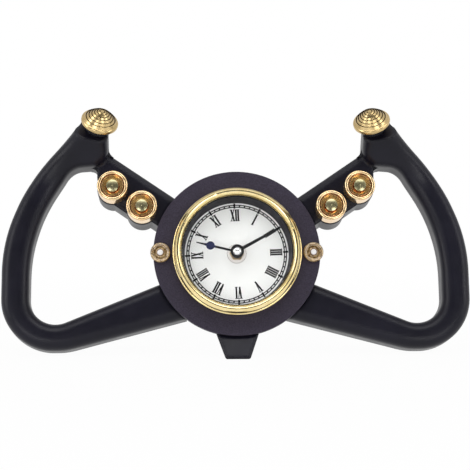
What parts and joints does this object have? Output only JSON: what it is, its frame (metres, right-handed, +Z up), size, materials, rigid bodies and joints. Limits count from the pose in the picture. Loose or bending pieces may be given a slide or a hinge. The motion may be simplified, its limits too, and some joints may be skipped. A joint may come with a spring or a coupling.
{
  "type": "table clock",
  "caption": "Quartz table clock shaped like an aircraft control yoke: a round hub with a brass bezel and Roman dial, open black cast wings, brass buttons and stepped finials.",
  "frame": {"origin": "on the table under the middle of the clock, at the bottom centre of its bounding box", "axes": "+X to the right as the dial is read, +Y away from the reader, +Z up; the hub axis leans back 18 degrees, so its inward direction is (0, 0.951, -0.309)"},
  "size_m": [0.3564, 0.0772, 0.1852],
  "materials": {
    "black_casting": "satin black paint on a casting",
    "black_grain": "matte grained black paint",
    "polished_brass": "polished",
    "clear_glass": "clear",
    "black_tube": "matte black",
    "white_dial": "matte white print",
    "movement_plastic": "moulded",
    "gear_plastic": "natural moulded",
    "board": "circuit board",
    "copper_wire": "enamelled wire",
    "steel": "zinc plated",
    "battery": "plain sleeve",
    "black_hand": "black lacquer",
    "blue_hand": "blued",
    "silver_cap": "polished",
    "rubber_ring": "matte"
  },
  "bodies": {
    "case": {"battery_cell": "battery", "battery_contacts": "steel", "bezel_ring": "polished_brass", "button_cup_inner_left": "polished_brass", "button_cup_inner_right": "polished_brass", "button_cup_outer_left": "polished_brass", "button_cup_outer_right": "polished_brass", "button_dome_inner_left": "polished_brass", "button_dome_inner_right": "polished_brass", "button_dome_outer_left": "polished_brass", "button_dome_outer_right": "polished_brass", "circuit_board": "board", "collar_left": "black_casting", "collar_right": "black_casting", "dial_gasket": "rubber_ring", "dial_plate": "white_dial", "dial_spacer": "black_tube", "drive_coil": "copper_wire", "finial_left": "polished_brass", "finial_right": "polished_brass", "foot": "black_casting", "foot_screws": "steel", "front_ring": "black_grain", "gear_bridge": "gear_plastic", "glass_lens": "clear_glass", "hub_housing": "black_casting", "mounting_nut": "polished_brass", "mounting_washer": "polished_brass", "movement_case": "movement_plastic", "movement_cover": "movement_plastic", "rear_cover": "black_casting", "rear_cover_screws": "steel", "side_screw_left": "polished_brass", "side_screw_right": "polished_brass", "wing_bolts": "steel", "wing_left": "black_casting", "wing_right": "black_casting"},
    "minute": {"minute_arbor": "steel", "minute_hand": "black_hand", "hand_cap_nut": "silver_cap"},
    "hour": {"hour_wheel": "gear_plastic", "hour_hand": "blue_hand"},
    "reducer": {"minute_wheel": "gear_plastic"},
    "setter": {"setting_arbor": "gear_plastic", "setting_knob": "movement_plastic"}
  },
  "joints": [
    {"name": "minute_turn", "type": "hinge", "parent": "case", "child": "minute", "pos_m": [0, -0.0112, 0.07657], "axis": [0, 0.9511, -0.309], "continuous": true},
    {"name": "hour_turn", "type": "hinge", "parent": "case", "child": "hour", "pos_m": [0, -0.0112, 0.07657], "axis": [0, 0.9511, -0.309], "continuous": true},
    {"name": "reducer_turn", "type": "hinge", "parent": "case", "child": "reducer", "pos_m": [0, -0.00749, 0.08799], "axis": [0, 0.9511, -0.309], "continuous": true},
    {"name": "setter_turn", "type": "hinge", "parent": "case", "child": "setter", "pos_m": [0.012, -0.00749, 0.08799], "axis": [0, 0.9511, -0.309], "continuous": true}
  ],
  "couplings": [
    {"joint": "hour_turn", "follows": "minute_turn", "ratio": 0.083333},
    {"joint": "reducer_turn", "follows": "minute_turn", "ratio": -0.33333},
    {"joint": "setter_turn", "follows": "minute_turn", "ratio": 1}
  ]
}
